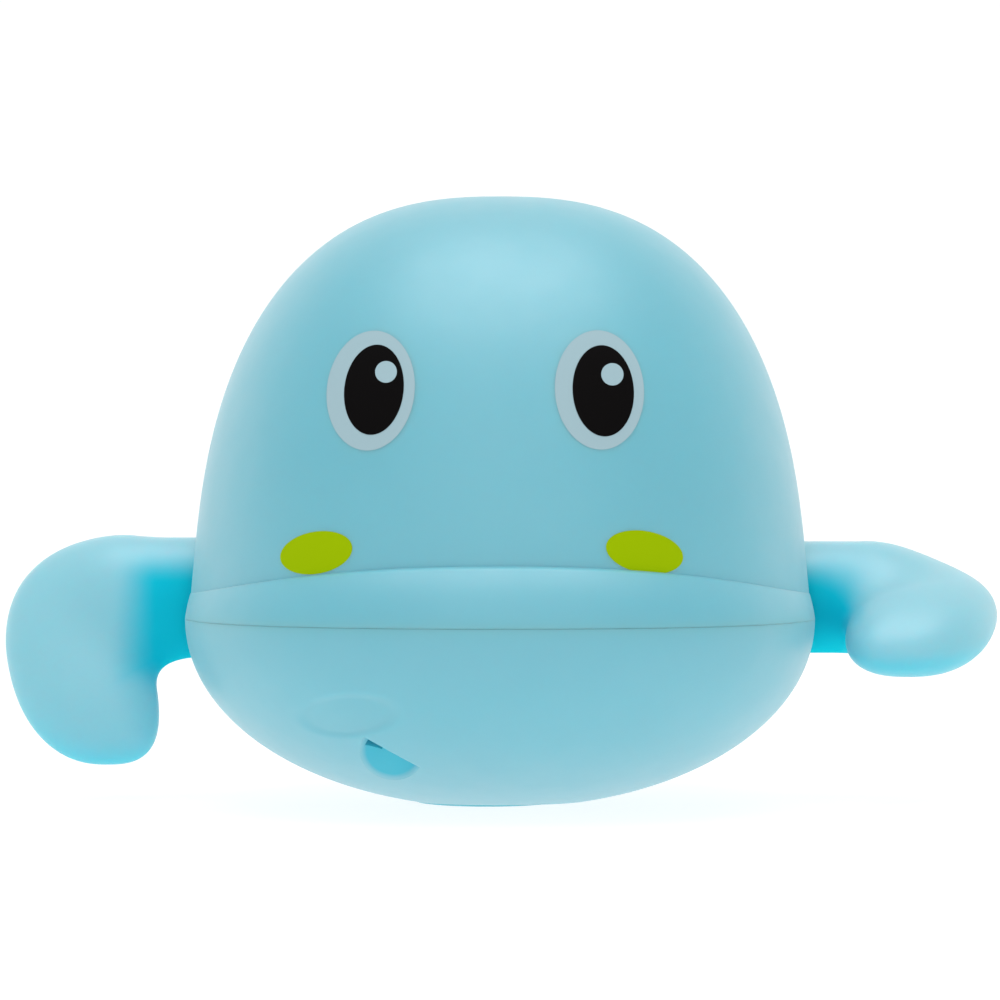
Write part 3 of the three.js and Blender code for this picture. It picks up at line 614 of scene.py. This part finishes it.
# Lower shell: hull with its recess, rounded rim, spigot behind the seam and inner skin
rim_z = SEAM_Z - SEAM_GAP / 2
floor_z = FOOT_STEP + WALL
out_spigot = grown(FOOT_SIZE, -WALL - SPIGOT_FIT)
in_spigot = grown(out_spigot, -SPIGOT_T)
rows = hull_rows(HULL_ROWS, rim_z - SEAM_ROUND, FOOT_STEP, 0)[::-1]
for row in rows:
    row[:, 1] += np.where(row[:, 1] < 0, recess(row[:, 0], row[:, 2]), 0)
for a in np.linspace(0, np.pi / 2, ROUNDING_ROWS)[1:]:
    t = (SEAM_Z - rim_z + SEAM_ROUND) / HULL_DEPTH
    size = grown(FOOT_SIZE, LIP_OUT)
    size = tuple(s * fall(t, HULL_POWER) - SEAM_ROUND * (1 - math.cos(a)) for s in size)
    rows.append(plan(size, rim_z - SEAM_ROUND * (1 - math.sin(a))))
past_socket = np.abs(rows[-1][:, 1] - AXLE_Y) - SOCKET_R - SOCKET_RIM - SPIGOT_FIT
spigot_z = SEAM_Z + SPIGOT_H * np.clip(past_socket, 0, 1)
rows.append(plan(out_spigot, rim_z))
rows.append(plan(out_spigot, spigot_z))
rows.append(plan(in_spigot, spigot_z))
rows.append(plan(in_spigot, SEAM_Z - SPIGOT_H))
rows += backed(hull_rows(INNER_ROWS, SEAM_Z - 3 * SPIGOT_H, floor_z, WALL))
lower = piece("lower_shell_skin", skin(rows), satin_abs_shell, "body")


def hull_front(x, z):
    """Distance forward of the hull's skin at a place seen from the front."""
    ring = plan(grown(FOOT_SIZE, LIP_OUT), 0)
    ring = ring[np.argsort(ring[:, 0] + np.where(ring[:, 1] > 0, 1e3, 0))]
    ring = ring[ring[:, 1] <= 0]
    s = fall((SEAM_Z - z) / HULL_DEPTH, HULL_POWER)
    return s * np.interp(x / s, ring[:, 0], ring[:, 1])


def scoop_frame(u, v):
    """Place seen from the front of a point along and across the scoop's straight edge."""
    tilt = math.radians(SCOOP_TILT)
    x = SCOOP_X + u * math.cos(tilt) - v * math.sin(tilt)
    return x, SEAM_Z - SCOOP_BELOW_SEAM + u * math.sin(tilt) + v * math.cos(tilt)


def scoop_cut():
    """Half-moon plug whose inner face ramps from the arc in to its full depth at the straight edge."""
    u = -SCOOP_R * np.cos(np.linspace(0, np.pi, SCOOP_COLUMNS))
    rows = []
    for share in np.linspace(0, 1, SCOOP_ROWS):
        x, z = scoop_frame(u, -share * np.sqrt(np.clip(SCOOP_R ** 2 - u ** 2, 0, None)))
        deep = SCOOP_DEPTH * (1 - share) ** SCOOP_RAMP * (1 - (u / SCOOP_R) ** SCOOP_CORNER) + SCOOP_LEAST
        rows.append(np.stack([x, hull_front(x, z) + deep, z], axis=1))
    bm = skin(rows)
    out = bmesh.ops.extrude_face_region(bm, geom=bm.faces[:])
    moved = [g for g in out["geom"] if isinstance(g, bmesh.types.BMVert)]
    bmesh.ops.translate(bm, verts=moved, vec=(0, -SCOOP_PLUG * MM, 0))
    bmesh.ops.recalc_face_normals(bm, faces=bm.faces)
    if bm.calc_volume(signed=True) < 0:
        bmesh.ops.reverse_faces(bm, faces=bm.faces)
    return bm


def slot_cut():
    """Square plug for the slot, rising into the hull behind the scoop's straight edge."""
    bm = bmesh.new()
    bmesh.ops.create_cube(bm, size=1.0)
    bmesh.ops.scale(bm, verts=bm.verts, vec=(SLOT_W * MM, SLOT_PLUG * MM, SLOT_H * MM))
    bmesh.ops.rotate(bm, verts=bm.verts, matrix=Matrix.Rotation(math.radians(SLOT_RISE), 3, "X"))
    bmesh.ops.rotate(bm, verts=bm.verts, matrix=Matrix.Rotation(math.radians(-SCOOP_TILT), 3, "Y"))
    x, z = scoop_frame(SLOT_ALONG, -SLOT_BELOW)
    bmesh.ops.translate(bm, verts=bm.verts, vec=(x * MM, float(hull_front(x, z)) * MM, z * MM))
    return bm


holes = bmesh.new()
for x, y in POSTS:
    for side in (-1, 1):
        rod(holes, HEAD_HOLE_R, (side * x, y, HOLE_FROM_Z), (side * x, y, HEAD_Z), HOLE_SIDES)
cut(lower, socket_cuts() + [holes])
# The cut faces of scoop and slot take the drain's material, with its painted shade
cut(lower, [scoop_cut(), slot_cut()], drain_abs_painted_shade)
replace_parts(lower, "lower_shell")

# Posts that line the screw holes, their lower ends sunk in the hull's wall
for index, (x, y) in enumerate(POSTS):
    for hand, side in (("left", 1), ("right", -1)):
        bm = bmesh.new()
        for v in rod(bm, POST_R, (side * x, y, 0), (side * x, y, rim_z), HOLE_SIDES):
            if v.co.z < 1 * MM:
                reach = (abs(v.co.x) / DOME_HALF_W) ** PLAN_POWER
                reach += (abs(v.co.y) / (DOME_FRONT if v.co.y < 0 else DOME_REAR)) ** PLAN_POWER
                share = float(fall((reach / MM ** PLAN_POWER) ** (1 / PLAN_POWER), HULL_POWER))
                v.co.z = (SEAM_Z + WALL / 2) * MM
                v.co.z -= HULL_DEPTH * MM * share
        post = piece(f"screw_post_{index + 1}_{hand}", bm, satin_abs_shell, "body")
        head, stem = bmesh.new(), bmesh.new()
        rod(head, HEAD_HOLE_R, (side * x, y, HOLE_FROM_Z), (side * x, y, HEAD_Z), HOLE_SIDES)
        rod(stem, STEM_HOLE_R, (side * x, y, HOLE_FROM_Z), (side * x, y, STEM_TO_Z), STEM_SIDES)
        cut(post, [head, stem])

# Foot pad
bm = bmesh.new()
rod(bm, 1.0, (0, 0, 0), (0, 0, FOOT_STEP + FOOT_SUNK), FOOT_SIDES)
bmesh.ops.scale(bm, verts=bm.verts, vec=(FOOT_HALF_W, FOOT_HALF_L, 1))
bmesh.ops.translate(bm, verts=bm.verts, vec=(FOOT_X * MM, 0, 0))
rims = [e for e in bm.edges if all(v.co.z < 0.1 * MM for v in e.verts)]
bmesh.ops.bevel(bm, geom=rims, offset=FOOT_ROUND * MM, affect="EDGES", segments=3, profile=0.5, material=-1)
piece("foot_pad", bm, satin_abs_shell, "body")


def flipper_field(d, r, t):
    """Below zero inside a flipper: neck and paddle joined by a soft swell."""
    end = np.clip((d - NECK_TURN) / NECK_ROUND, 0, None)
    neck = (np.sqrt((r / NECK_R) ** 2 + (t / NECK_HALF_T) ** 2 + end ** 2) - 1) * NECK_HALF_T
    down = r - PADDLE_DROP
    power = np.where(down > 0, PADDLE_POWER, 2.0)
    length = np.where(down > 0, PADDLE_DOWN, PADDLE_UP)
    middle = PADDLE_OUT - PADDLE_LEAN * down - PADDLE_CURL * down ** 2
    outline = (np.abs(d - middle) / PADDLE_HALF_W) ** power + (np.abs(down) / length) ** power
    paddle = (np.hypot(outline ** (1 / power), t / PADDLE_HALF_T) - 1) * PADDLE_HALF_T
    h = np.clip(0.5 + (paddle - neck) / (2 * SWELL), 0, 1)
    return np.maximum(paddle * (1 - h) + neck * h - SWELL * h * (1 - h), SOCKET_D - FIELD_BACK - d)


def flipper(name, side, turn, node):
    """The skin is found along rays from a point inside, closer together at the paddle's tip."""
    heart = (PADDLE_OUT - HEART_IN, HEART_DOWN)
    a = np.linspace(0, np.pi, FLIPPER_ROWS)[:, None]
    b = np.linspace(0, 2 * np.pi, FLIPPER_COLUMNS)[None, :]
    c = b - RAY_CROWD * np.sin(b)
    out, down, across = -np.cos(a) + 0 * c, np.sin(a) * np.cos(c), np.sin(a) * np.sin(c)
    near, far = np.zeros_like(out), np.full_like(out, RAY_REACH)
    for _ in range(RAY_HALVINGS):
        s = (near + far) / 2
        inside = flipper_field(heart[0] + out * s, heart[1] + down * s, across * s) < 0
        near, far = np.where(inside, s, near), np.where(inside, far, s)
    rows = np.stack([heart[0] + out * near, across * near, -heart[1] - down * near], axis=2)
    rows[:, -1] = rows[:, 0]
    bm = skin(rows)
    bmesh.ops.bisect_plane(
        bm, geom=bm.verts[:] + bm.edges[:] + bm.faces[:],
        plane_co=(NECK_IN * MM, 0, 0), plane_no=(-1, 0, 0), clear_outer=True,
    )
    bmesh.ops.holes_fill(bm, edges=[e for e in bm.edges if e.is_boundary])
    bmesh.ops.rotate(bm, verts=bm.verts, matrix=Matrix.Rotation(math.radians(-turn), 3, "X"))
    bmesh.ops.scale(bm, verts=bm.verts, vec=(side, 1, 1))
    bmesh.ops.translate(bm, verts=bm.verts, vec=(0, AXLE_Y * MM, AXLE_Z * MM))
    bmesh.ops.recalc_face_normals(bm, faces=bm.faces)
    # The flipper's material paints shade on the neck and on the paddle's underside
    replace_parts(piece(name, bm, polypropylene_painted_shade, "flippers"), node)


flipper("flipper_left_skin", 1, LEFT_TURN, "flipper_left")
flipper("flipper_right_skin", -1, RIGHT_TURN, "flipper_right")


def dome_front(x, z):
    """Distance forward of the dome's skin at a place seen from the front."""
    w, f, _ = dome_size(z, 0)
    return -f * np.clip(1 - (np.abs(x) / w) ** PLAN_POWER, 0, 1) ** (1 / PLAN_POWER)


def printed(name, material, shape, lift):
    """An oval film of ink, its edge and back sunk in the dome."""
    cx, cz, half_w, half_h, lean = shape
    sweep = np.linspace(0, 2 * np.pi, INK_COLUMNS)
    tilt = math.radians(lean)
    rings = [(r, lift) for r in np.linspace(0, 1, INK_ROWS)]
    rings += [(r, -INK) for r in np.linspace(1, 0, INK_BACK_ROWS)]
    rows = []
    for r, out in rings:
        u, v = half_w * r * np.cos(sweep), half_h * r * np.sin(sweep)
        x = cx + u * math.cos(tilt) - v * math.sin(tilt)
        z = cz + u * math.sin(tilt) + v * math.cos(tilt)
        rows.append(np.stack([x, dome_front(x, z) - out, z], axis=1))
    piece(name, skin(rows), material, "body")


for hand, white, pupil, (gx, gz, gr) in EYES:
    printed(f"eye_white_{hand}", pale_ink, white, INK)
    printed(f"eye_pupil_{hand}", black_ink, pupil, 2 * INK)
    printed(f"eye_glint_{hand}", pale_ink, (gx, gz, gr, gr, 0.0), 3 * INK)
for hand, oval in CHEEKS:
    printed(f"cheek_{hand}", lime_ink, oval, INK)

# Finishes of the inner parts, which are shown as the solids have them: a moulded case, acetal wheels and
# bushes, and steel for the rods, screws and spring
acetal_parts = (
    "axle_bush_left", "axle_bush_right", "axle_pinion", "idler_wheel", "great_wheel", "barrel_cover",
)
for name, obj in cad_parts.items():
    if obj.hide_render:
        continue
    if name.startswith("gear_case"):
        finish_of = plain_polystyrene
    elif name in acetal_parts:
        finish_of = waxy_acetal
    else:
        finish_of = bright_steel
    obj.data.materials.clear()
    obj.data.materials.append(finish_of)

# Opal acrylic sheet lit from below: an even white that throws light up under the hull
opal_acrylic = moulded(
    "lit_opal_acrylic", "7c7c7c", "808080", 0.8, 2.0, 0.01,
    {"Emission Color": linear("ffffff"), "Emission Strength": TABLE_GLOW},
)
bm = bmesh.new()
bmesh.ops.create_grid(bm, x_segments=2, y_segments=60, size=0.5)
for v in bm.verts:
    run = (v.co.y + 0.5) * (TABLE_FLAT + TABLE_BEND + TABLE_WALL)
    bend = max(0.0, min(1.0, (run - TABLE_FLAT) / TABLE_BEND)) * math.pi / 2
    back = TABLE_NEAR + min(run, TABLE_FLAT) + TABLE_BEND_R * math.sin(bend)
    up = max(0.0, run - TABLE_FLAT - TABLE_BEND) + TABLE_BEND_R * (1 - math.cos(bend))
    v.co = Vector((v.co.x * TABLE_W, back, up))
piece("floor", bm, opal_acrylic, None)

# Plain studio: an even white all round, a wide soft lamp overhead and one in front
world = bpy.data.worlds.new("studio")
world.use_nodes = True
world.node_tree.nodes["Background"].inputs["Color"].default_value = (1.0, 1.0, 1.0, 1.0)
world.node_tree.nodes["Background"].inputs["Strength"].default_value = 0.6
bpy.context.scene.world = world


def lamp(name, place, aim, size, power):
    """A round soft lamp turned to the toy. Size in metres, power in watts."""
    data = bpy.data.lights.new(name, "AREA")
    data.shape = "DISK"
    data.size = size
    data.energy = power
    obj = bpy.data.objects.new(name, data)
    obj.location = place
    obj.rotation_euler = (Vector(aim) - Vector(place)).to_track_quat("-Z", "Y").to_euler()
    bpy.context.collection.objects.link(obj)


lamp("overhead", (0.0, -0.1, 1.1), (0, 0, 0.04), 1.0, 5.7)
lamp("front", (0.0, -1.4, 0.7), (0, 0, 0.04), 1.2, 2.0)

# Camera, placed as the photograph was taken
camera = bpy.data.cameras.new("photo_view")
camera.sensor_width = 36.0
camera.lens = VIEW_LENS
camera.clip_start = 0.01
view = bpy.data.objects.new("photo_view", camera)
view.location = (0.0, -VIEW_AWAY, (SEAM_Z + VIEW_OVER_SEAM) * MM)
view.rotation_euler = (math.pi / 2 - VIEW_DOWN, 0.0, 0.0)
bpy.context.collection.objects.link(view)
bpy.context.scene.camera = view
bpy.context.scene.view_settings.view_transform = "Standard"

bpy.context.view_layer.update()
